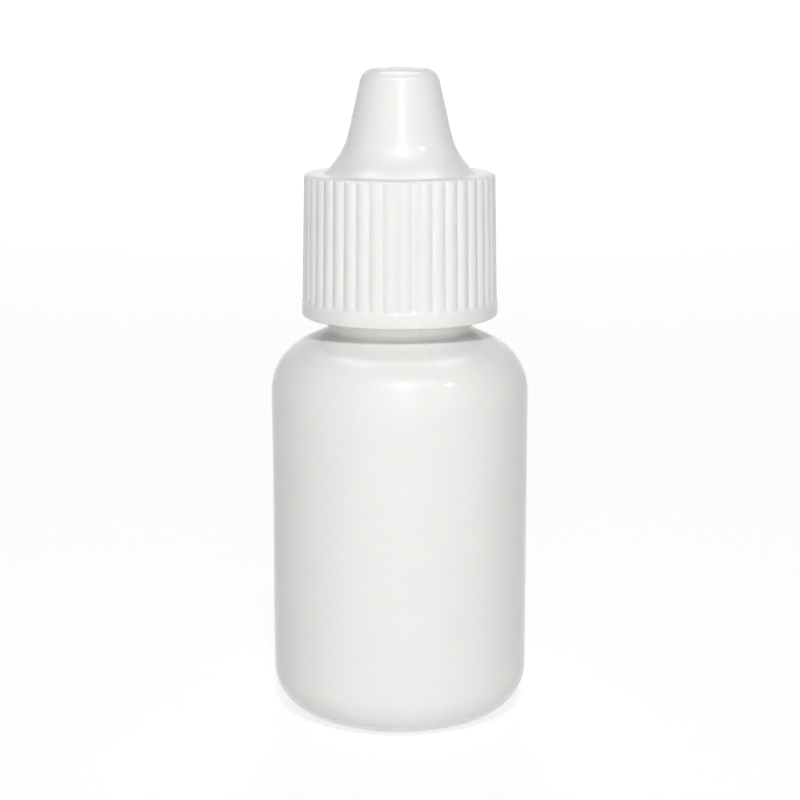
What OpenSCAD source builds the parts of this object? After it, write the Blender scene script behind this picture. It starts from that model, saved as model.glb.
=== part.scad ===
// Eye drop bottle of about 15 ml: a squeeze bottle, a press-in dropper tip and a ribbed screw cap.
// Millimetres, +Z up. The origin is the centre of the base, on the surface the bottle stands on.
// The straight-on side of the object, as it is usually seen, faces -Y.

/* [Bottle body] */
// Outside diameter of the body
body_d = 25; // [22.4:0.1:32]
// Wall thickness of the body and shoulder
wall = 0.9; // [0.6:0.05:1.3]
// Thickness of the floor
floor_t = 1.1; // [0.7:0.05:1.6]
// Radius of the bottom outside edge
base_round = 4.3; // [3:0.1:5]
// Height of the hollow pushed up into the underside
push_up = 1.1; // [0.5:0.1:1.6]
// Width of the flat ring that the bottle stands on
foot_w = 1; // [0.6:0.1:2]
// Height at which the straight side ends and the shoulder begins
side_top = 31.9; // [22:0.1:50]
// Radius of the shoulder
shoulder_round = 5.7; // [3:0.1:6.5]
// Slope of the shoulder above its round, from level
shoulder_slope = 25; // [15:1:35]

/* [Bottle neck] */
// Outside diameter of the neck wall, under the thread
neck_d = 13.1; // [12.2:0.1:14]
// Depth of the neck thread that the cap's bore has to clear
thread_depth = 0.75; // [0.55:0.05:1]
// Height of the neck, from the shoulder to the land at its top
neck_h = 12.6; // [11.5:0.1:15]
// Wall thickness of the neck
neck_wall = 1.05; // [0.85:0.05:1.4]
// How far the plain collar below the thread stands out from the neck wall
collar_proud = 0.45; // [0.2:0.05:0.5]
// Height of that collar above the shoulder
collar_h = 2.5; // [1.5:0.1:3.5]
// Radius in the corner between neck and shoulder
neck_foot_round = 0.6; // [0.3:0.05:1]
// Chamfer of the neck's mouth
mouth_chamfer = 0.35; // [0.2:0.05:0.4]

/* [Dropper tip] */
// Length of the plug below the flange
plug_l = 8; // [6:0.1:10]
// Wall thickness of the plug
plug_wall = 0.8; // [0.6:0.05:1.1]
// Radial play between the plug and the neck's bore
plug_play = 0.05; // [0.03:0.01:0.1]
// How far each sealing bead bites into the bore
bead_bite = 0.08; // [0.04:0.01:0.12]
// Radius of a sealing bead's section
bead_round = 0.4; // [0.3:0.05:0.6]
// Number of sealing beads
beads = 2; // [1:1:3]
// Distance from the flange to the first bead, and from bead to bead
bead_step = 2.4; // [1.8:0.1:2.6]
// Thickness of the flange that sits on the neck
flange_t = 1; // [0.7:0.05:1.4]
// Distance from the neck's outside to the flange's edge
flange_inset = 0.15; // [0.05:0.05:0.25]
// Diameter of the nozzle at the flange
nozzle_d = 8.3; // [7.6:0.1:8.8]
// Height of the nozzle above the flange
nozzle_h = 9.7; // [8:0.1:11]
// Taper of the nozzle's side, from upright
nozzle_taper = 13.1; // [10:0.1:14]
// Radius in the corner between nozzle and flange
nozzle_foot_round = 0.9; // [0.5:0.05:1]
// Radius of the nozzle's lip
nozzle_lip_round = 0.5; // [0.3:0.05:0.6]
// Wall thickness of the nozzle
nozzle_wall = 1; // [0.8:0.05:1.2]
// Diameter of the hole that meters the drop
orifice_d = 0.5; // [0.4:0.05:0.8]
// Length of that hole
orifice_l = 0.8; // [0.5:0.1:1.2]
// Diameter of the drop-forming funnel at the nozzle's end
funnel_d = 1.6; // [1.4:0.1:2]
// Depth of that funnel
funnel_h = 1.1; // [0.9:0.1:1.5]

/* [Cap] */
// Play between the neck's thread and the cap's bore
thread_play = 0.15; // [0.1:0.05:0.3]
// Thickness of the skirt at its lower edge, ribs included
skirt_t = 2.05; // [1.6:0.05:2.6]
// Draft of the skirt's outside, in degrees
skirt_draft = 1.05; // [0.4:0.05:1.6]
// Gap between the shoulder and the cap's lower edge
cap_gap = 1.3; // [0.8:0.1:2]
// Clearance round the nozzle's foot where the cap sits on the flange
seat_clear = 0.2; // [0.1:0.05:0.4]
// Thickness of the cap's top over the flange
top_t = 1.4; // [1:0.1:2]
// Radius of the rim round the cap's top
rim_round = 0.6; // [0.3:0.05:0.9]
// Radius of the cap's lower edge
lip_round = 0.3; // [0.15:0.05:0.5]
// Wall thickness of the nose
nose_wall = 1.2; // [0.9:0.05:1.5]
// Gap between the nozzle and the nose's inside
nose_gap = 0.8; // [0.5:0.05:1.1]
// Gap between the nozzle's end and the nose's ceiling
nose_end_gap = 0.4; // [0.2:0.05:0.6]
// Thickness of the nose's end
nose_end_t = 1.2; // [0.9:0.05:1.6]
// How far the flare at the nose's foot runs out past its taper
flare_out = 1.48; // [1:0.02:2]
// Slope of the flare where it meets the top, from level
flare_slope = 42; // [32:1:50]
// Radius of the flare
flare_round = 6.9; // [3:0.1:8]
// Radius between the flare and the cap's flat top
flare_foot_round = 0.6; // [0.3:0.05:1]
// Radius of the nose's end
nose_round = 1.5; // [0.8:0.1:1.8]
// Height of the sealing pin in the nose
pin_l = 1; // [0.7:0.05:1.2]
// Play between the sealing pin's end and the funnel
pin_play = 0.12; // [0.08:0.02:0.2]

/* [Grip] */
// Number of ribs round the skirt
ribs = 42; // [34:2:50]
// Angle between the two ribs either side of a mould split
split_angle = 12.5; // [10:0.1:16]
// Direction of the mould split near the front
split_az = -81; // [-180:1:180]
// Width of a groove between two ribs
groove_w = 0.64; // [0.4:0.02:0.8]
// Depth of a groove
groove_depth = 0.3; // [0.15:0.01:0.32]
// Height of the plain band below the ribs
band_h = 1.5; // [1:0.1:3]

/* [Hidden] */
$fn = 96;
arc_step = 6;
split_count = 2;
// how far a cutter goes on past the face it opens
overshoot = 1;

// Body and shoulder
body_r = body_d / 2;
foot_outer_r = body_r - base_round;
foot_inner_r = foot_outer_r - foot_w;
push_round = 0.4;
push_slope_run = 3;
// where the straight side and the shoulder's slope would meet
shoulder_corner = side_top + shoulder_round * tan((90 - shoulder_slope) / 2);
// drop of the inner shoulder below the outer one, for an even wall
shoulder_drop = wall / cos(shoulder_slope);
inner_shoulder_corner = shoulder_corner + wall * tan(shoulder_slope) - shoulder_drop;

// Neck
neck_r = neck_d / 2;
collar_r = neck_r + collar_proud;
bore_r = neck_r - neck_wall;
neck_foot = shoulder_corner + (body_r - collar_r) * tan(shoulder_slope);
inner_neck_foot = neck_foot + (collar_r - bore_r) * tan(shoulder_slope) - shoulder_drop;
land = neck_foot + neck_h;

// Dropper tip
plug_r = bore_r - plug_play;
plug_bottom = land - plug_l;
plug_in_r = plug_r - plug_wall;
plug_lead = 0.4;
flange_top = land + flange_t;
flange_r = neck_r - flange_inset;
nozzle_top = flange_top + nozzle_h;
orifice_r = orifice_d / 2;
funnel_r = funnel_d / 2;
orifice_top = nozzle_top - funnel_h;
orifice_bottom = orifice_top - orifice_l;
function nozzle_r(z) = nozzle_d / 2 - (z - flange_top) * tan(nozzle_taper);

// Cap
cap_bottom = neck_foot + cap_gap;
cap_bore_r = neck_r + thread_depth + thread_play;
cap_r = cap_bore_r + skirt_t;
rim = flange_top + top_t;
rim_r = cap_r - (rim - cap_bottom) * tan(skirt_draft);
mouth_lead = 0.4;
bore_corner_round = 0.5;
seat_r = nozzle_d / 2 + nozzle_foot_round + seat_clear;
cavity_blend = 2;
cavity_blend_round = 3;
cavity_end_round = 0.6;
cavity_top = nozzle_top + nose_end_gap;
nose_top = cavity_top + nose_end_t;
function cavity_r(z) = nozzle_r(z) + nose_gap;
function nose_r(z) = cavity_r(z) + nose_wall;
flare_foot_r = nose_r(rim) + flare_out;
waist = rim + flare_out / (1 / tan(flare_slope) - tan(nozzle_taper));
// the flare's radius, no larger than its sloping stretch has room for
flare_run = (waist - rim) / sin(flare_slope) - flare_foot_round * tan(flare_slope / 2);
flare_turn = 90 - nozzle_taper - flare_slope;
flare_r = min(flare_round, flare_run / tan(flare_turn / 2));
pin_root_r = 0.6;
pin_end_r = orifice_r + (funnel_r - orifice_r) * (funnel_h - pin_l + nose_end_gap) / funnel_h - pin_play;

// Ribs and grooves
ribs_per_half = ribs / split_count;
rib_pitch = (180 - split_angle) / (ribs_per_half - 1);
groove_r = (groove_w * groove_w / 4 + groove_depth * groove_depth) / (2 * groove_depth);
groove_start = cap_bottom + band_h + groove_r;
groove_axis_r = cap_r - (groove_start - cap_bottom) * tan(skirt_draft) + groove_r - groove_depth;
split_half = (split_angle - rib_pitch) / 2;

// A corner point of an outline is [x, y, radius of the round there].
function xy(p) = [p[0], p[1]];
function unit(v) = v / norm(v);
function short_way(a) = a > 180 ? a - 360 : a < -180 ? a + 360 : a;
// Points of the round at corner b, on the way from a to c
function round_corner(a, b, c, radius) =
    let(
        to_a = unit(a - b),
        to_c = unit(c - b),
        half = acos(to_a * to_c) / 2,
        centre = b + unit(to_a + to_c) * radius / sin(half),
        start = b + to_a * radius / tan(half) - centre,
        end = b + to_c * radius / tan(half) - centre,
        from = atan2(start[1], start[0]),
        sweep = short_way(atan2(end[1], end[0]) - from),
        steps = ceil(abs(sweep) / arc_step)
    )
    [for (i = [0 : steps]) centre + radius * [cos(from + sweep * i / steps), sin(from + sweep * i / steps)]];
// The outline through corner points, with each corner rounded
function rounded(points) =
    let(count = len(points))
    [
        for (i = [0 : count - 1])
            let(
                a = xy(points[(i + count - 1) % count]),
                b = xy(points[i]),
                c = xy(points[(i + 1) % count]),
                radius = points[i][2]
            )
            each radius > 0 ? round_corner(a, b, c, radius) : [b]
    ];

module turned(points) {
    rotate_extrude() polygon(rounded(points));
}

// Blow-moulded shell: hollow underside, straight side, round shoulder and a bored neck
module bottle() {
    color([0.93, 0.93, 0.91])
        turned([
            [0, push_up, 0],
            [foot_inner_r - push_slope_run, push_up, push_slope_run],
            [foot_inner_r, 0, push_round],
            [body_r, 0, base_round],
            [body_r, shoulder_corner, shoulder_round],
            [collar_r, neck_foot, neck_foot_round],
            [collar_r, neck_foot + collar_h, 0],
            [neck_r, neck_foot + collar_h + collar_proud, 0],
            [neck_r, land - mouth_chamfer, 0],
            [neck_r - mouth_chamfer, land, 0],
            [bore_r + mouth_chamfer, land, 0],
            [bore_r, land - mouth_chamfer, 0],
            [bore_r, inner_neck_foot, neck_foot_round],
            [body_r - wall, inner_shoulder_corner, shoulder_round - wall],
            [body_r - wall, floor_t, base_round - wall],
            [foot_inner_r, floor_t, push_round],
            [foot_inner_r - push_slope_run, push_up + floor_t, push_slope_run],
            [0, push_up + floor_t, 0],
        ]);
}

// One of the rings that bite into the neck's bore
module bead(z) {
    translate([0, 0, z])
        rotate_extrude()
            translate([bore_r + bead_bite - bead_round, 0])
                circle(r = bead_round);
}

// Plug with sealing beads, flange and hollow tapered nozzle, bored right through
module dropper_tip() {
    color([0.95, 0.95, 0.94])
        difference() {
            union() {
                turned([
                    [0, plug_bottom, 0],
                    [plug_r - plug_lead, plug_bottom, 0],
                    [plug_r, plug_bottom + plug_lead, 0],
                    [plug_r, land, 0],
                    [flange_r, land, 0],
                    [flange_r, flange_top, 0],
                    [nozzle_r(flange_top), flange_top, nozzle_foot_round],
                    [nozzle_r(nozzle_top), nozzle_top, nozzle_lip_round],
                    [0, nozzle_top, 0],
                ]);
                for (i = [1 : beads])
                    bead(land - i * bead_step);
            }
            turned([
                [0, plug_bottom - overshoot, 0],
                [plug_in_r, plug_bottom - overshoot, 0],
                [plug_in_r, land, 0],
                [nozzle_r(flange_top + flange_t) - nozzle_wall, flange_top + flange_t, 0],
                [nozzle_r(orifice_bottom) - nozzle_wall, orifice_bottom - orifice_l, 0],
                [orifice_r, orifice_bottom, 0],
                [orifice_r, orifice_top, 0],
                [funnel_r, nozzle_top, 0],
                [funnel_r, nozzle_top + overshoot, 0],
                [0, nozzle_top + overshoot, 0],
            ]);
        }
}

// A groove's cutter: a bar with a round lower end, leaning in with the skirt's draft
module groove() {
    translate([groove_axis_r, 0, groove_start])
        rotate([0, -skirt_draft, 0])
            rotate_extrude()
                union() {
                    square([groove_r, rim - groove_start + overshoot]);
                    intersection() {
                        circle(r = groove_r);
                        translate([0, -groove_r])
                            square(groove_r);
                    }
                }
}

// The wider groove at a mould split: two grooves and the flat between them
module split_groove() {
    for (side = [-1, 1])
        rotate([0, 0, side * split_half])
            groove();
    translate([groove_axis_r, 0, groove_start])
        rotate([0, -skirt_draft, 0])
            translate([-groove_r, -split_half * PI / 180 * cap_r, 0])
                cube([2 * groove_r, split_half * PI / 90 * cap_r, rim - groove_start + overshoot]);
}

module grooves() {
    for (half = [0 : split_count - 1])
        rotate([0, 0, split_az + half * 180]) {
            split_groove();
            for (i = [1 : ribs_per_half - 1])
                rotate([0, 0, split_angle / 2 + (i - 0.5) * rib_pitch])
                    groove();
        }
}

// Screw cap: ribbed skirt, flat top, flared nose over the nozzle and a pin that seals its end
module cap() {
    color([0.96, 0.96, 0.96])
        difference() {
            turned([
                [0, cap_bottom, 0],
                [cap_r, cap_bottom, lip_round],
                [rim_r, rim, rim_round],
                [flare_foot_r, rim, flare_foot_round],
                [nose_r(waist), waist, flare_r],
                [nose_r(nose_top), nose_top, nose_round],
                [0, nose_top, 0],
            ]);
            turned([
                [0, cap_bottom - overshoot, 0],
                [cap_bore_r + mouth_lead, cap_bottom - overshoot, 0],
                [cap_bore_r + mouth_lead, cap_bottom, 0],
                [cap_bore_r, cap_bottom + mouth_lead, 0],
                [cap_bore_r, flange_top, bore_corner_round],
                [seat_r, flange_top, 0],
                [cavity_r(flange_top + cavity_blend), flange_top + cavity_blend, cavity_blend_round],
                [cavity_r(cavity_top), cavity_top, cavity_end_round],
                [pin_root_r, cavity_top, 0],
                [pin_end_r, cavity_top - pin_l, 0],
                [0, cavity_top - pin_l, 0],
            ]);
            grooves();
        }
}

bottle();
dropper_tip();
cap();
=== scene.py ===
import math

import bmesh
import bpy
import numpy as np
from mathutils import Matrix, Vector


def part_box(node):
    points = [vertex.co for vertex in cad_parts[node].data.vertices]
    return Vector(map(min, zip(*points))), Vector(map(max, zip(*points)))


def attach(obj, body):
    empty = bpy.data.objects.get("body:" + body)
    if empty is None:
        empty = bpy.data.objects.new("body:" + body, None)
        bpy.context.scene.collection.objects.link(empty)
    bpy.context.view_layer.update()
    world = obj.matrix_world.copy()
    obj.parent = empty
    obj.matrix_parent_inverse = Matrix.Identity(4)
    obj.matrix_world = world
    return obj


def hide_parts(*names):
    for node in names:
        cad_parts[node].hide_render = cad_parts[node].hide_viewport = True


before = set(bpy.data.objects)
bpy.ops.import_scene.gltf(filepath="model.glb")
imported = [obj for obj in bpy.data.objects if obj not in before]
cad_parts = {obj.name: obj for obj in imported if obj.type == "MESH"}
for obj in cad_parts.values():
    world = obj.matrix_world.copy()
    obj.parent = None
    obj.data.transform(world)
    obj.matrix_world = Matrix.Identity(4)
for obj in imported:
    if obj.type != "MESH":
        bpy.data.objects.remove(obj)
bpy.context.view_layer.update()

MM = 0.001


def node_size(node):
    """Largest radius, lowest height and highest height of a CAD node, in millimetres."""
    low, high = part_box(node)
    return high.x / MM, low.z / MM, high.z / MM


BODY_R, _, LAND = node_size("bottle")
FLANGE_R, PLUG_BOTTOM, NOZZLE_TOP = node_size("dropper_tip")
CAP_R, CAP_BOTTOM, NOSE_TOP = node_size("cap")

# Bottle. Sizes are in millimetres from here on, and angles in radians
WALL = 0.9
FLOOR_T = 1.1
BASE_ROUND = 4.3
PUSH_UP = 1.1
PUSH_RUN = 3
PUSH_ROUND = 0.4
FOOT_OUTER_R = BODY_R - BASE_ROUND
FOOT_INNER_R = FOOT_OUTER_R - 1
SHOULDER_ROUND = 5.7
SHOULDER_SLOPE = math.radians(25)
NECK_H = 12.6
NECK_R = FLANGE_R + 0.15
NECK_WALL = 1.05
BORE_R = NECK_R - NECK_WALL
COLLAR_R = NECK_R + 0.45
COLLAR_H = 2.5
COLLAR_ROUND = 0.15
NECK_FOOT = LAND - NECK_H
NECK_FOOT_ROUND = 0.6
THREAD_FOOT_ROUND = 0.2
MOUTH_CHAMFER = 0.35
MOUTH_ROUND = 0.1
SHOULDER_CORNER = NECK_FOOT - (BODY_R - COLLAR_R) * math.tan(SHOULDER_SLOPE)
SHOULDER_DROP = WALL / math.cos(SHOULDER_SLOPE)
INNER_NECK_FOOT = NECK_FOOT + (COLLAR_R - BORE_R) * math.tan(SHOULDER_SLOPE) - SHOULDER_DROP
INNER_CORNER = SHOULDER_CORNER + WALL * math.tan(SHOULDER_SLOPE) - SHOULDER_DROP

# Mould seam of the bottle: a fine ridge that bends a little as it comes down from the neck
SEAM_ANGLE = math.radians(-90 + 16.7)
SEAM_BEND = math.radians(0.5)
SEAM_BEND_TOP = 37
SEAM_HEIGHT = 0.08
SEAM_WIDTH = 0.13
SEAM_FADE = (33, 35.2)

# Pinched line across the bottle's underside
PINCH_HEIGHT = 0.25
PINCH_WIDTH = 0.3
PINCH_REACH = (3.4, 4.4)

# Unevenness of the blown wall: two waves round it, each of which turns as it rises
WAVE_HEIGHT = 0.016
SLOW_WAVE_RISE = 5
QUICK_WAVE_RISE = -4
QUICK_WAVE_START = 1
QUICK_WAVE_SHARE = 0.6
WAVE_FADE = (1, 8)

# Threads
PITCH = 25.4 / 12
THREAD_SINK = 0.06
THREAD_ROUND = 0.18
THREAD_FADE = (-0.02, math.radians(28))
THREAD_END_SHARE = 0.5
NECK_CREST_R = NECK_R + 0.75
NECK_ROOT_W = 1.15
NECK_CREST_W = 0.5
NECK_TURNS = 2.2
NECK_THREAD_TOP = LAND - 1.5
NECK_THREAD_FOOT = NECK_THREAD_TOP - NECK_TURNS * PITCH
NECK_THREAD_START = math.radians(40)
CAP_CREST_R = NECK_R + 0.22
CAP_ROOT_W = 1.05
CAP_CREST_W = 0.45
CAP_TURNS = 1.9
CAP_THREAD_FOOT = CAP_BOTTOM + 2

# Dropper tip
PLUG_R = BORE_R - 0.05
PLUG_IN_R = PLUG_R - 0.8
PLUG_LEAD = 0.4
PLUG_LEAD_ROUND = 0.3
PLUG_CHAMFER = 0.15
PLUG_ROUND = 0.1
BEAD_R = 0.4
BEAD_PRESS = 0.08
BEAD_CENTRE_R = BORE_R + BEAD_PRESS - BEAD_R
BEAD_STEP = 2.4
BEAD_MARGIN = 1
FLANGE_TOP = LAND + 1
FLANGE_ROUND = 0.12
NOZZLE_TAPER = math.tan(math.radians(13.1))
NOZZLE_FOOT_R = 4.15
NOZZLE_FOOT_ROUND = 0.9
NOZZLE_WALL = 1
NOZZLE_ROUND = 0.5
FUNNEL_R = 0.8
FUNNEL_ROUND = 0.08
ORIFICE_R = 0.25
ORIFICE_ROUND = 0.1
ORIFICE_TOP = NOZZLE_TOP - 1.1
ORIFICE_BOTTOM = ORIFICE_TOP - 0.8
CHAMBER_TOP = ORIFICE_BOTTOM - 0.8
CHAMBER_TOP_ROUND = 0.3
CHAMBER_FOOT = FLANGE_TOP + 1
CHAMBER_FOOT_ROUND = 0.5

# Cap
CAP_BORE_R = NECK_R + 0.9
CAP_BORE_ROUND = 0.5
CAP_MOUTH = 0.4
CAP_MOUTH_ROUND = 0.1
RIM = FLANGE_TOP + 1.4
DRAFT = math.tan(math.radians(1.05))
RIM_R = CAP_R - (RIM - CAP_BOTTOM) * DRAFT
RIM_ROUND = 0.6
LIP_ROUND = 0.3
CAVITY_GAP = 0.8
CAVITY_MOUTH = 1.1
CAVITY_FOOT = FLANGE_TOP + 2
CAVITY_FOOT_ROUND = 3
CAVITY_TOP = NOZZLE_TOP + 0.4
CAVITY_TOP_ROUND = 0.6
NOSE_WALL = 1.2
FLARE_OUT = 1.48
FLARE_SLOPE = math.radians(42)
FLARE_ROUND = 6.9
FLARE_FOOT_ROUND = 0.6
NOSE_ROUND = 1.5
GATE_R = 0.9
GATE_DEPTH = 0.12
GATE_NUB_R = 0.4
GATE_NUB_H = 0.1
GATE_DRAFT = 0.05
GATE_ROUND = 0.05
PIN_L = 1
PIN_ROOT_R = 0.6
PIN_END_R = 0.3
PIN_ROUND = 0.1

# Ribs and grooves of the cap: ribs sink a little over RIB_FOOT, and RIB_POWER shapes their round backs.
# The split's angle and place and the ribs' pitch are in degrees
RIBS = 42
RIB_SINK = 0.07
RIB_FOOT = (CAP_BOTTOM + 1.32, CAP_BOTTOM + 1.58)
SPLIT_ANGLE = 12.5
SPLIT_AZ = -81
RIB_PITCH = (180 - SPLIT_ANGLE) / (RIBS / 2 - 1)
SPLIT_HALF = math.radians(SPLIT_ANGLE - RIB_PITCH) / 2
RIB_POWER = 2.2
GROOVE_DEPTH = 0.2
GROOVE_ROOT = 0.05
GROOVE_START = CAP_BOTTOM + 1.85
SPLIT_RISE = 0.25
SPLIT_RISE_W = 0.2
GRIP_IN_R = 8.3

# Fineness of the meshes: angles, counts of columns, and gaps between rows
ARC_STEP = math.radians(5)
SHARP_EDGE = math.radians(38)
ON_AXIS = 1e-6
SHELL_GAP = 0.5
SHELL_INNER_GAP = 2
SEAM_COLUMNS = 61
SEAM_MIDDLE = SEAM_ANGLE - math.radians(2)
SEAM_HALF_SPAN = math.radians(5)
SEAM_CROWDING = 0.45
BETWEEN_COLUMNS = 104
THREAD_STEPS = 120
TIP_COLUMNS = 192
TIP_GAP = 0.6
GRIP_COLUMNS = RIBS * 32
PLAIN_COLUMNS = GRIP_COLUMNS // 4
CAP_GAP = 0.6
GROOVE_END_GAP = 0.06
GROOVE_ENDS = (CAP_BOTTOM + 1, GROOVE_START + 0.3)


def nozzle_r(z):
    """Outside radius of the nozzle at a height."""
    return NOZZLE_FOOT_R - (z - FLANGE_TOP) * NOZZLE_TAPER


def cavity_r(z):
    """Radius of the cap's inside over the nozzle."""
    return nozzle_r(z) + CAVITY_GAP


def nose_r(z):
    """Radius of the nose's straight taper."""
    return cavity_r(z) + NOSE_WALL


def smooth_step(value, low, high):
    """0 below low, 1 above high, and an even turn between them."""
    share = np.clip((value - low) / (high - low), 0, 1)
    return share * share * (3 - 2 * share)


# Outlines


def arc(centre, radius, start, sweep):
    """Points of an arc, with its first and last."""
    steps = max(2, math.ceil(abs(sweep) / ARC_STEP))
    angles = [start + sweep * i / steps for i in range(steps + 1)]
    return [centre + radius * Vector((math.cos(a), math.sin(a))) for a in angles]


def rounded(corners):
    """The outline through (radius, height, round) corners, with each corner rounded."""
    points = []
    for i, (x, y, radius) in enumerate(corners):
        corner = Vector((x, y))
        if radius == 0:
            points.append(corner)
            continue
        before = (Vector(corners[i - 1][:2]) - corner).normalized()
        after = (Vector(corners[i + 1][:2]) - corner).normalized()
        half = before.angle(after) / 2
        centre = corner + (before + after).normalized() * radius / math.sin(half)
        start = corner + before * radius / math.tan(half) - centre
        end = corner + after * radius / math.tan(half) - centre
        sweep = math.atan2(start.x * end.y - start.y * end.x, start.dot(end))
        points += arc(centre, radius, math.atan2(start.y, start.x), sweep)
    return points


def spaced(points, gap):
    """The outline with more points on its long stretches, each at most gap(point) from the next."""
    result = []
    for a, b in zip(points, points[1:]):
        length = (b - a).length
        done = 0
        while done < length - ON_AXIS:
            here = a.lerp(b, done / length)
            result.append(here)
            left = length - done
            done += left / math.ceil(left / gap(here))
    return result + [points[-1]]


# Meshes


def ring(bm, point, angles, shape):
    """The vertices of an outline point's turn round the axis, or the one vertex of a point on it."""
    radius, height = point
    if radius < ON_AXIS:
        return [bm.verts.new((0, 0, height * MM))]
    r, z = shape(radius, height, angles) if shape else (radius, height)
    x = r * np.cos(angles) * MM
    y = r * np.sin(angles) * MM
    z = np.broadcast_to(z, angles.shape) * MM
    return [bm.verts.new(p) for p in zip(x, y, z)]


def bridge(bm, one, other):
    """Faces between two rings, where the count of one divides the other's."""
    wide, slim = (one, other) if len(one) >= len(other) else (other, one)
    share = len(wide) // len(slim)
    if len(slim) == 1:
        for i, vert in enumerate(wide):
            bm.faces.new((vert, wide[(i + 1) % len(wide)], slim[0]))
        return
    for i, vert in enumerate(slim):
        run = [wide[(i * share + k) % len(wide)] for k in range(share + 1)]
        bm.faces.new((vert, *run, slim[(i + 1) % len(slim)]))


def finished(bm, name):
    """The object made from a closed mesh, smooth but for its sharp edges."""
    bmesh.ops.recalc_face_normals(bm, faces=bm.faces)
    for face in bm.faces:
        face.smooth = True
    for edge in bm.edges:
        edge.smooth = edge.calc_face_angle(0) < SHARP_EDGE
    mesh = bpy.data.meshes.new(name)
    bm.to_mesh(mesh)
    bm.free()
    piece = bpy.data.objects.new(name, mesh)
    bpy.context.scene.collection.objects.link(piece)
    return piece


def turned(name, sections, closed=False):
    """A piece turned from sections of outline: (points, angles of its columns, shape function or None)."""
    bm = bmesh.new()
    rings = [ring(bm, p, angles, shape) for points, angles, shape in sections for p in points]
    for one, other in zip(rings, rings[1:]):
        bridge(bm, one, other)
    if closed:
        bridge(bm, rings[-1], rings[0])
    return finished(bm, name)


def even_columns(count):
    """Angles of evenly spread columns."""
    return np.arange(count) * 2 * math.pi / count


# Bottle


def seam_columns():
    """Column angles with close ones over the two mould seams, which are half a turn apart."""
    spread = np.linspace(-1, 1, SEAM_COLUMNS)
    crowded = spread * (1 - SEAM_CROWDING + SEAM_CROWDING * spread**2)
    close = SEAM_MIDDLE + SEAM_HALF_SPAN * crowded
    between = np.linspace(close[-1], close[0] + math.pi, BETWEEN_COLUMNS + 2)[1:-1]
    half = np.concatenate([close, between])
    return np.concatenate([half, half + math.pi])


def from_seam(angles, angle):
    """Angle from the nearer of the two seams, with its sign."""
    return (angles - angle + math.pi / 2) % math.pi - math.pi / 2


def bottle_surface(radius, height, angles):
    """The outside's unevenness, its seams, and the pinched line across the underside."""
    bend = SEAM_BEND * (height - SEAM_BEND_TOP) ** 2 if height > SEAM_FADE[0] else 0
    across = from_seam(angles, SEAM_ANGLE - bend) * radius
    ridge = SEAM_HEIGHT * np.exp(-((across / SEAM_WIDTH) ** 2)) * smooth_step(height, *SEAM_FADE)
    slow_wave = np.sin(2 * angles + height / SLOW_WAVE_RISE)
    quick_wave = np.sin(3 * angles + height / QUICK_WAVE_RISE + QUICK_WAVE_START)
    wave = WAVE_HEIGHT * (slow_wave + QUICK_WAVE_SHARE * quick_wave)
    wavy = smooth_step(height, *WAVE_FADE) * (1 - smooth_step(height, SHOULDER_CORNER, NECK_FOOT))
    off_line = radius * np.sin(from_seam(angles, SEAM_ANGLE))
    pinch = np.exp(-((off_line / PINCH_WIDTH) ** 2)) * (1 - smooth_step(radius, *PINCH_REACH))
    under = PINCH_HEIGHT * pinch if height < PUSH_UP + ON_AXIS else 0
    return radius + ridge + wave * wavy, height - under


def make_bottle():
    """The blown shell, from the underside's middle up the outside and down the inside."""
    columns = seam_columns()
    outside = rounded([
        (0, PUSH_UP, 0),
        (FOOT_INNER_R - PUSH_RUN, PUSH_UP, PUSH_RUN),
        (FOOT_INNER_R, 0, PUSH_ROUND),
        (BODY_R, 0, BASE_ROUND),
        (BODY_R, SHOULDER_CORNER, SHOULDER_ROUND),
        (COLLAR_R, NECK_FOOT, NECK_FOOT_ROUND),
        (COLLAR_R, NECK_FOOT + COLLAR_H, COLLAR_ROUND),
        (NECK_R, NECK_FOOT + COLLAR_H + COLLAR_R - NECK_R, THREAD_FOOT_ROUND),
        (NECK_R, LAND - MOUTH_CHAMFER, MOUTH_ROUND),
        (NECK_R - MOUTH_CHAMFER, LAND, 0),
    ])
    inside = rounded([
        (BORE_R + MOUTH_CHAMFER, LAND, 0),
        (BORE_R, LAND - MOUTH_CHAMFER, 0),
        (BORE_R, INNER_NECK_FOOT, NECK_FOOT_ROUND),
        (BODY_R - WALL, INNER_CORNER, SHOULDER_ROUND - WALL),
        (BODY_R - WALL, FLOOR_T, BASE_ROUND - WALL),
        (FOOT_INNER_R, FLOOR_T, PUSH_ROUND),
        (FOOT_INNER_R - PUSH_RUN, PUSH_UP + FLOOR_T, PUSH_RUN),
        (0, PUSH_UP + FLOOR_T, 0),
    ])
    outside = spaced(outside, lambda p: SHELL_GAP)
    inside = spaced(inside, lambda p: SHELL_INNER_GAP)
    return turned("bottle_shell", [(outside, columns, bottle_surface), (inside, columns, None)])


# Threads


def thread_section(root_r, crest_r, root_w, crest_w):
    """Closed section of a thread's ridge: (radius, height) from its middle, with a round crest."""
    out = 1 if crest_r > root_r else -1
    sunk = root_r - out * THREAD_SINK
    corners = [
        (sunk, root_w / 2, 0),
        (root_r, root_w / 2, 0),
        (crest_r, crest_w / 2, THREAD_ROUND),
        (crest_r, -crest_w / 2, THREAD_ROUND),
        (root_r, -root_w / 2, 0),
        (sunk, -root_w / 2, 0),
    ]
    return rounded(corners), sunk


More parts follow.
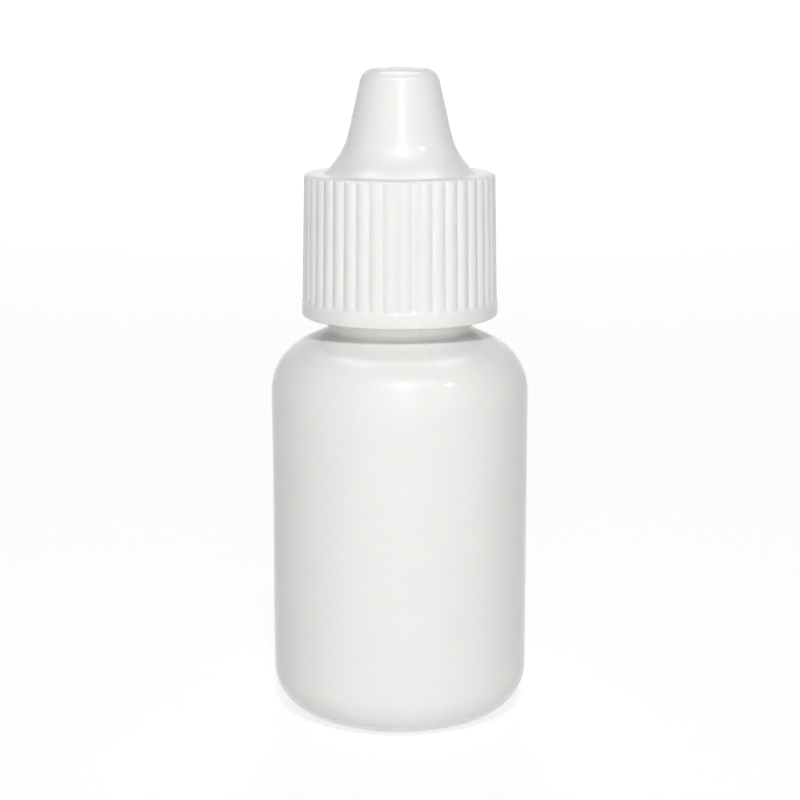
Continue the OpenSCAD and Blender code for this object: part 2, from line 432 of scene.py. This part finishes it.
def make_thread(name, root_r, crest_r, root_w, crest_w, foot, turns, start):
    """A right-handed ridge round the axis that rises from the wall at both of its ends."""
    section, sunk = thread_section(root_r, crest_r, root_w, crest_w)
    length = turns * 2 * math.pi
    steps = math.ceil(turns * THREAD_STEPS)
    bm = bmesh.new()
    rows = []
    for i in range(steps + 1):
        along = length * i / steps
        full = smooth_step(min(along, length - along), *THREAD_FADE)
        tall = THREAD_END_SHARE + (1 - THREAD_END_SHARE) * full
        angle = start + along
        middle = foot + PITCH * along / (2 * math.pi)
        row = []
        for radius, height in section:
            r = sunk + (radius - sunk) * full
            z = middle + height * tall
            row.append(bm.verts.new((r * math.cos(angle) * MM, r * math.sin(angle) * MM, z * MM)))
        rows.append(row)
    for one, other in zip(rows, rows[1:]):
        bridge(bm, one, other)
    bm.faces.new(rows[0])
    bm.faces.new(rows[-1])
    return finished(bm, name)


def make_neck_thread():
    """The neck's thread, a little over two turns, which ends just below the land."""
    return make_thread(
        "neck_thread",
        root_r=NECK_R,
        crest_r=NECK_CREST_R,
        root_w=NECK_ROOT_W,
        crest_w=NECK_CREST_W,
        foot=NECK_THREAD_FOOT,
        turns=NECK_TURNS,
        start=NECK_THREAD_START,
    )


def make_cap_thread():
    """The cap's thread, half a pitch below the neck's where the two run together."""
    turns_below = (NECK_THREAD_FOOT - CAP_THREAD_FOOT) / PITCH - 0.5
    return make_thread(
        "cap_thread",
        root_r=CAP_BORE_R,
        crest_r=CAP_CREST_R,
        root_w=CAP_ROOT_W,
        crest_w=CAP_CREST_W,
        foot=CAP_THREAD_FOOT,
        turns=CAP_TURNS,
        start=NECK_THREAD_START - turns_below * 2 * math.pi,
    )


# Dropper tip


def bead(height):
    """Outline of a sealing bead on the plug, from its lower end to its upper."""
    half = math.acos((PLUG_R - BEAD_CENTRE_R) / BEAD_R)
    return arc(Vector((BEAD_CENTRE_R, height)), BEAD_R, -half, 2 * half)


def make_tip():
    """Plug with two beads, flange and nozzle, bored right through."""
    plug = rounded([
        (PLUG_IN_R + PLUG_CHAMFER, PLUG_BOTTOM, 0),
        (PLUG_R - PLUG_LEAD, PLUG_BOTTOM, PLUG_ROUND),
        (PLUG_R, PLUG_BOTTOM + PLUG_LEAD, PLUG_LEAD_ROUND),
        (PLUG_R, LAND - 2 * BEAD_STEP - BEAD_MARGIN, 0),
    ])
    head = rounded([
        (PLUG_R, LAND - BEAD_MARGIN, 0),
        (PLUG_R, LAND, 0),
        (FLANGE_R, LAND, FLANGE_ROUND),
        (FLANGE_R, FLANGE_TOP, FLANGE_ROUND),
        (nozzle_r(FLANGE_TOP), FLANGE_TOP, NOZZLE_FOOT_ROUND),
        (nozzle_r(NOZZLE_TOP), NOZZLE_TOP, NOZZLE_ROUND),
        (FUNNEL_R, NOZZLE_TOP, FUNNEL_ROUND),
        (ORIFICE_R, ORIFICE_TOP, ORIFICE_ROUND),
        (ORIFICE_R, ORIFICE_BOTTOM, ORIFICE_ROUND),
        (nozzle_r(ORIFICE_BOTTOM) - NOZZLE_WALL, CHAMBER_TOP, CHAMBER_TOP_ROUND),
        (nozzle_r(CHAMBER_FOOT) - NOZZLE_WALL, CHAMBER_FOOT, CHAMBER_FOOT_ROUND),
        (PLUG_IN_R, LAND, CHAMBER_FOOT_ROUND),
        (PLUG_IN_R, PLUG_BOTTOM + PLUG_CHAMFER, 0),
    ])
    outline = plug + bead(LAND - 2 * BEAD_STEP) + bead(LAND - BEAD_STEP) + head
    outline = spaced(outline, lambda p: TIP_GAP)
    return turned("dropper_tip_moulding", [(outline, even_columns(TIP_COLUMNS), None)], closed=True)


# Cap


def groove_share(radius, height, angles):
    """Share of a groove's full depth at each angle, from 0 on a rib to 1 in a groove."""
    below = max(GROOVE_START - height, 0)
    pitch = math.radians(RIB_PITCH) * radius
    share = np.zeros(angles.shape)
    for half in (0, 180):
        split = math.radians(SPLIT_AZ + half)
        first = math.radians(SPLIT_ANGLE / 2 + RIB_PITCH / 2)
        for i in range(RIBS // 2):
            centre = split if i == 0 else split + first + (i - 1) * math.radians(RIB_PITCH)
            flat = SPLIT_HALF * radius if i == 0 else 0
            across = np.abs((angles - centre + math.pi) % (2 * math.pi) - math.pi) * radius
            away = np.sqrt(np.maximum(across - flat, 0) ** 2 + below**2 + GROOVE_ROOT**2) - GROOVE_ROOT
            depth = (1 - np.minimum(away / (pitch / 2), 1)) ** RIB_POWER
            if i == 0:
                depth *= 1 - SPLIT_RISE * np.exp(-((across / SPLIT_RISE_W) ** 2))
            share = np.maximum(share, depth)
    return share


def grip_surface(radius, height, angles):
    """The ribbed skirt: ribs lie a little inside the plain band's face, and grooves run out over the rim."""
    sink = RIB_SINK * smooth_step(height, *RIB_FOOT)
    skirt = CAP_R - (height - CAP_BOTTOM) * DRAFT - sink
    cut = skirt - GROOVE_DEPTH * groove_share(skirt, height, angles)
    return np.minimum(radius, cut), height


def grip_gap(point):
    """Rows lie close together where the grooves start."""
    low, high = GROOVE_ENDS
    return GROOVE_END_GAP if low < point.y < high and point.x > GRIP_IN_R else CAP_GAP


def make_cap():
    """The cap, from the gate mark on its nose over the grip and up the inside to the sealing pin."""
    waist = RIM + FLARE_OUT / (1 / math.tan(FLARE_SLOPE) - NOZZLE_TAPER)
    gate_floor = NOSE_TOP - GATE_DEPTH
    outline = rounded([
        (0, gate_floor + GATE_NUB_H, 0),
        (GATE_NUB_R, gate_floor + GATE_NUB_H, GATE_ROUND),
        (GATE_NUB_R + GATE_DRAFT, gate_floor, GATE_ROUND),
        (GATE_R - 2 * GATE_DRAFT, gate_floor, GATE_ROUND),
        (GATE_R, NOSE_TOP, GATE_ROUND),
        (nose_r(NOSE_TOP), NOSE_TOP, NOSE_ROUND),
        (nose_r(waist), waist, FLARE_ROUND),
        (nose_r(RIM) + FLARE_OUT, RIM, FLARE_FOOT_ROUND),
        (RIM_R, RIM, RIM_ROUND),
        (CAP_R, CAP_BOTTOM, LIP_ROUND),
        (CAP_BORE_R + CAP_MOUTH, CAP_BOTTOM, CAP_MOUTH_ROUND),
        (CAP_BORE_R, CAP_BOTTOM + CAP_MOUTH, CAP_MOUTH_ROUND),
        (CAP_BORE_R, FLANGE_TOP, CAP_BORE_ROUND),
        (nozzle_r(FLANGE_TOP) + CAVITY_MOUTH, FLANGE_TOP, 0),
        (cavity_r(CAVITY_FOOT), CAVITY_FOOT, CAVITY_FOOT_ROUND),
        (cavity_r(CAVITY_TOP), CAVITY_TOP, CAVITY_TOP_ROUND),
        (PIN_ROOT_R, CAVITY_TOP, PIN_ROUND),
        (PIN_END_R, CAVITY_TOP - PIN_L, PIN_ROUND),
        (0, CAVITY_TOP - PIN_L, 0),
    ])
    outline = spaced(outline, grip_gap)
    wide = [i for i, p in enumerate(outline) if p.x > GRIP_IN_R]
    plain = even_columns(PLAIN_COLUMNS)
    return turned("cap_moulding", [
        (outline[: wide[0]], plain, None),
        (outline[wide[0] : wide[-1] + 1], even_columns(GRIP_COLUMNS), grip_surface),
        (outline[wide[-1] + 1 :], plain, None),
    ])


# Materials, with noise scales in patterns per metre

MOTTLE_SCALE = 130
MOTTLE_RANGE = (0.35, 0.65)
SCUFF_SCALE = 1400
SCUFF_RANGE = (0.56, 0.72)
SCUFF_DULLNESS = 0.15
GLOSS_SCALE = 420
GLOSS_RANGE = (0.3, 0.7)
RIPPLE_SCALE = 210
SKIN_SCALE = 5200
SKIN_HEIGHT = 0.0000025
SCATTER_SHARE = 0.35
SCATTER_TINT = (1.0, 0.85, 0.5)


def add_node(tree, kind, links=(), **values):
    """A shader node with input values by name (spaces as _) and links of (output socket, input name)."""
    node = tree.nodes.new(kind)
    for name, value in values.items():
        socket = node.inputs.get(name.replace("_", " "))
        if socket is None:
            setattr(node, name, value)
        else:
            socket.default_value = value
    for output, name in links:
        tree.links.new(output, node.inputs[name])
    return node


def grain(tree, place, scale, detail=2.0):
    """The value of a noise, with scale in patterns per metre."""
    noise = add_node(tree, "ShaderNodeTexNoise", [(place, "Vector")], Scale=scale, Detail=detail)
    return noise.outputs["Fac"]


def remapped(tree, value, low, high, to_low, to_high):
    """A value mapped from one range to another, and kept in it."""
    node = add_node(tree, "ShaderNodeMapRange", [(value, "Value")])
    for name, number in (("From Min", low), ("From Max", high), ("To Min", to_low), ("To Max", to_high)):
        node.inputs[name].default_value = number
    return node.outputs["Result"]


def mixed(tree, share, one, other):
    """A colour between two, each a socket or three numbers."""
    node = tree.nodes.new("ShaderNodeMix")
    node.data_type = "RGBA"
    for name, value in (("A", one), ("B", other)):
        socket = next(s for s in node.inputs if s.name == name and s.type == "RGBA")
        if hasattr(value, "is_output"):
            tree.links.new(value, socket)
        else:
            socket.default_value = (*value, 1)
    tree.links.new(share, node.inputs["Factor"])
    return next(s for s in node.outputs if s.type == "RGBA")


def plastic(name, colours, worn, wear_band, roughness, specular, scatter, ripple, thick_and_shaded_tone=None, thick_and_shaded_band=()):
    """A moulded plastic with mottled colour and gloss, fine grain, slow ripples and light scuffs.

    colours are its two near tones, and worn is the scuffs' tone, which fades out over wear_band.
    thick_and_shaded_tone is taken on over thick_and_shaded_band: thicker plastic and painted warm shade.
    Bands are heights in millimetres.
    roughness is a range, and specular the gloss level. scatter, the depth that light spreads in it,
    and ripple, the height of its slow waves, are in metres."""
    material = bpy.data.materials.new(name)
    material.use_nodes = True
    tree = material.node_tree
    tree.nodes.clear()
    place = add_node(tree, "ShaderNodeTexCoord").outputs["Object"]
    height = add_node(tree, "ShaderNodeSeparateXYZ", [(place, "Vector")]).outputs["Z"]
    mottle = remapped(tree, grain(tree, place, MOTTLE_SCALE), *MOTTLE_RANGE, 0, 1)
    tone = mixed(tree, mottle, *colours)
    # Optional warmer band: partly thicker plastic, partly painted warm shade where a shadow falls
    if thick_and_shaded_tone:
        tone = mixed(tree, remapped(tree, height, *(h * MM for h in thick_and_shaded_band), 0, 1), tone, thick_and_shaded_tone)
    scuffs = remapped(tree, grain(tree, place, SCUFF_SCALE, 6), *SCUFF_RANGE, 0, 1)
    band = remapped(tree, height, *(h * MM for h in wear_band), 1, 0)
    wear = add_node(tree, "ShaderNodeMath", [(scuffs, 0), (band, 1)], operation="MULTIPLY").outputs[0]
    tone = mixed(tree, wear, tone, worn)
    gloss = remapped(tree, grain(tree, place, GLOSS_SCALE, 3), *GLOSS_RANGE, *roughness)
    dulled = add_node(tree, "ShaderNodeMath", [(wear, 0), (gloss, 2)], operation="MULTIPLY_ADD")
    dulled.inputs[1].default_value = SCUFF_DULLNESS
    ripples = add_node(
        tree,
        "ShaderNodeBump",
        [(grain(tree, place, RIPPLE_SCALE, 1), "Height")],
        Distance=ripple,
    )
    skin = add_node(
        tree,
        "ShaderNodeBump",
        [(grain(tree, place, SKIN_SCALE, 2), "Height"), (ripples.outputs["Normal"], "Normal")],
        Distance=SKIN_HEIGHT,
    )
    shader = add_node(
        tree,
        "ShaderNodeBsdfPrincipled",
        [(tone, "Base Color"), (dulled.outputs[0], "Roughness"), (skin.outputs["Normal"], "Normal")],
        IOR=1.5,
    )
    shader.inputs["Specular IOR Level"].default_value = specular
    shader.inputs["Subsurface Weight"].default_value = SCATTER_SHARE
    shader.inputs["Subsurface Scale"].default_value = scatter
    shader.inputs["Subsurface Radius"].default_value = SCATTER_TINT
    output = add_node(tree, "ShaderNodeOutputMaterial")
    tree.links.new(shader.outputs[0], output.inputs["Surface"])
    return material


def bottle_material():
    """Low-density polyethylene, a touch scuffed where it stands, with a warmer neck for its thicker plastic
    and painted warm shade.
    """
    return plastic(
        "white_polyethylene",
        colours=((0.865, 0.878, 0.862), (0.882, 0.892, 0.876)),
        worn=(0.80, 0.80, 0.775),
        wear_band=(0.2, 4.2),
        roughness=(0.08, 0.12),
        specular=0.3,
        scatter=0.0006,
        ripple=0.00001,
        # Painted warm shade: the neck is warmer for the cap's shadow on it, as well as for its thicker
        # plastic
        thick_and_shaded_tone=(0.875, 0.872, 0.828),
        thick_and_shaded_band=(NECK_FOOT - 0.5, NECK_FOOT + 0.1),
    )


def tip_material():
    """The softer polyethylene of the dropper tip, duller than the bottle and scuffed at the nozzle's end."""
    return plastic(
        "milky_polyethylene",
        colours=((0.85, 0.868, 0.86), (0.875, 0.888, 0.878)),
        worn=(0.82, 0.83, 0.81),
        wear_band=(NOZZLE_TOP - 0.8, NOZZLE_TOP - 1.4),
        roughness=(0.25, 0.32),
        specular=0.45,
        scatter=0.001,
        ripple=0.000006,
    )


def cap_material():
    """Polypropylene from a polished mould, a little scuffed at its lower edge."""
    return plastic(
        "white_polypropylene",
        colours=((0.853, 0.867, 0.853), (0.87, 0.88, 0.867)),
        worn=(0.81, 0.815, 0.80),
        wear_band=(CAP_BOTTOM + 0.1, CAP_BOTTOM + 1.8),
        roughness=(0.1, 0.14),
        specular=0.5,
        scatter=0.0004,
        ripple=0.000006,
    )


# Stage, light and camera, in metres

LAMP_DISTANCE = 0.8
LAMP_AIM = Vector((0, 0, 0.045))
FRAME_PIXELS = 800
FOCAL_PIXELS = 2063.4
SENSOR_WIDTH = 36
CAMERA_PLACE = (0.00002, -0.1977, 0.07175)
CAMERA_DOWN = 11.68


def seen_rays(tree):
    """1 for the rays that show a background: the camera's, and those from gloss or clear material."""
    path = add_node(tree, "ShaderNodeLightPath")
    first = add_node(
        tree,
        "ShaderNodeMath",
        [(path.outputs["Is Camera Ray"], 0), (path.outputs["Is Glossy Ray"], 1)],
        operation="ADD",
    )
    both = add_node(
        tree,
        "ShaderNodeMath",
        [(first.outputs[0], 0), (path.outputs["Is Transmission Ray"], 1)],
        operation="ADD",
        use_clamp=True,
    )
    return both.outputs[0]


def add_world(level):
    """Even room light at a level, and plain white where a background shows."""
    world = bpy.data.worlds.new("studio")
    bpy.context.scene.world = world
    world.use_nodes = True
    tree = world.node_tree
    tree.nodes.clear()
    light = add_node(tree, "ShaderNodeBackground", Color=(level, level, level, 1))
    white = add_node(tree, "ShaderNodeBackground", Color=(1, 1, 1, 1))
    mix = add_node(tree, "ShaderNodeMixShader", [(seen_rays(tree), 0)])
    tree.links.new(light.outputs[0], mix.inputs[1])
    tree.links.new(white.outputs[0], mix.inputs[2])
    output = add_node(tree, "ShaderNodeOutputWorld")
    tree.links.new(mix.outputs[0], output.inputs["Surface"])


def add_floor(half_size, tone, shadow_share, glow, glow_reach):
    """A pale floor that keeps a share of its shadow, and glows near the bottle and far off to show white."""
    bm = bmesh.new()
    corners = ((-1, -1), (1, -1), (1, 1), (-1, 1))
    bm.faces.new([bm.verts.new((x * half_size, y * half_size, 0)) for x, y in corners])
    mesh = bpy.data.meshes.new("floor")
    bm.to_mesh(mesh)
    bm.free()
    floor = bpy.data.objects.new("floor", mesh)
    bpy.context.scene.collection.objects.link(floor)
    material = bpy.data.materials.new("pale_floor")
    material.use_nodes = True
    tree = material.node_tree
    tree.nodes.clear()
    matt = add_node(tree, "ShaderNodeBsdfDiffuse", Color=(tone, tone, tone, 1))
    seen_tone = tone * shadow_share
    faint = add_node(tree, "ShaderNodeBsdfDiffuse", Color=(seen_tone, seen_tone, seen_tone, 1))
    place = add_node(tree, "ShaderNodeTexCoord").outputs["Object"]
    away = add_node(tree, "ShaderNodeVectorMath", [(place, 0)], operation="LENGTH").outputs["Value"]
    lift = add_node(tree, "ShaderNodeEmission", [(remapped(tree, away, *glow_reach, *glow), "Strength")])
    shown = add_node(tree, "ShaderNodeAddShader", [(faint.outputs[0], 0), (lift.outputs[0], 1)])
    mix = add_node(tree, "ShaderNodeMixShader", [(seen_rays(tree), 0)])
    tree.links.new(matt.outputs[0], mix.inputs[1])
    tree.links.new(shown.outputs[0], mix.inputs[2])
    output = add_node(tree, "ShaderNodeOutputMaterial")
    tree.links.new(mix.outputs[0], output.inputs["Surface"])
    mesh.materials.append(material)


def add_lamp(name, azimuth, elevation, span, radiance, shape="RECTANGLE", panel=False):
    """A soft lamp at an azimuth to the viewer's right and an elevation, with the angles that it spans.

    Angles are in degrees. A panel shows in gloss alone, and other lamps light without a mirror image."""
    data = bpy.data.lights.new(name, "AREA")
    data.shape = shape
    data.size, data.size_y = (2 * LAMP_DISTANCE * math.tan(math.radians(a) / 2) for a in span)
    data.energy = radiance * math.pi * data.size * data.size_y
    lamp = bpy.data.objects.new(name, data)
    bpy.context.scene.collection.objects.link(lamp)
    a, e = math.radians(azimuth), math.radians(elevation)
    away = Vector((math.sin(a) * math.cos(e), -math.cos(a) * math.cos(e), math.sin(e)))
    lamp.location = LAMP_AIM + away * LAMP_DISTANCE
    lamp.rotation_mode = "QUATERNION"
    lamp.rotation_quaternion = away.to_track_quat("Z", "Y")
    lamp.visible_camera = False
    lamp.visible_diffuse = not panel
    lamp.visible_glossy = panel


def add_lamps():
    """Lamps before, above and behind the bottle, and the panels that its gloss shows."""
    add_lamp("front_lamp", 2, 5, (24, 20), 6.9)
    add_lamp("upper_lamp", 1.5, 44, (8, 8), 78, shape="ELLIPSE")
    add_lamp("back_lamp", 180, 20, (14, 40), 7)
    add_lamp("wide_panel", 3, 47, (48, 18), 1.8, panel=True)
    add_lamp("core_panel", 4, 46, (16, 10), 5, shape="ELLIPSE", panel=True)
    add_lamp("low_panel", 3, 30, (40, 20), 0.3, panel=True)
    add_lamp("low_strip", 4, 28, (17, 26), 2.1, panel=True)
    add_lamp("top_panel", 0, 103, (60, 32), 3, panel=True)
    add_lamp("small_panel", 53, 38, (6, 6), 13, shape="ELLIPSE", panel=True)


def add_camera():
    """The photograph's camera, as the outline in the photograph gives it."""
    data = bpy.data.cameras.new("camera")
    data.sensor_width = SENSOR_WIDTH
    data.lens = SENSOR_WIDTH * FOCAL_PIXELS / FRAME_PIXELS
    camera = bpy.data.objects.new("camera", data)
    camera.location = CAMERA_PLACE
    camera.rotation_euler = (math.radians(90 - CAMERA_DOWN), 0, 0)
    bpy.context.scene.collection.objects.link(camera)
    bpy.context.scene.camera = camera


def dress(piece, material, body, node=None):
    """Gives a piece its material and its body, and hides the CAD node that it stands for."""
    piece.data.materials.append(material)
    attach(piece, body)
    if node:
        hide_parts(node)


add_camera()
add_world(level=0.14)
add_floor(half_size=6, tone=0.89, shadow_share=0.32, glow=(0.8, 1), glow_reach=(0.4, 0.8))
add_lamps()
bpy.context.scene.view_settings.view_transform = "Standard"

polyethylene = bottle_material()
polypropylene = cap_material()
dress(make_bottle(), polyethylene, "bottle", "bottle")
dress(make_neck_thread(), polyethylene, "bottle")
dress(make_tip(), tip_material(), "bottle", "dropper_tip")
dress(make_cap(), polypropylene, "cap", "cap")
dress(make_cap_thread(), polypropylene, "cap")
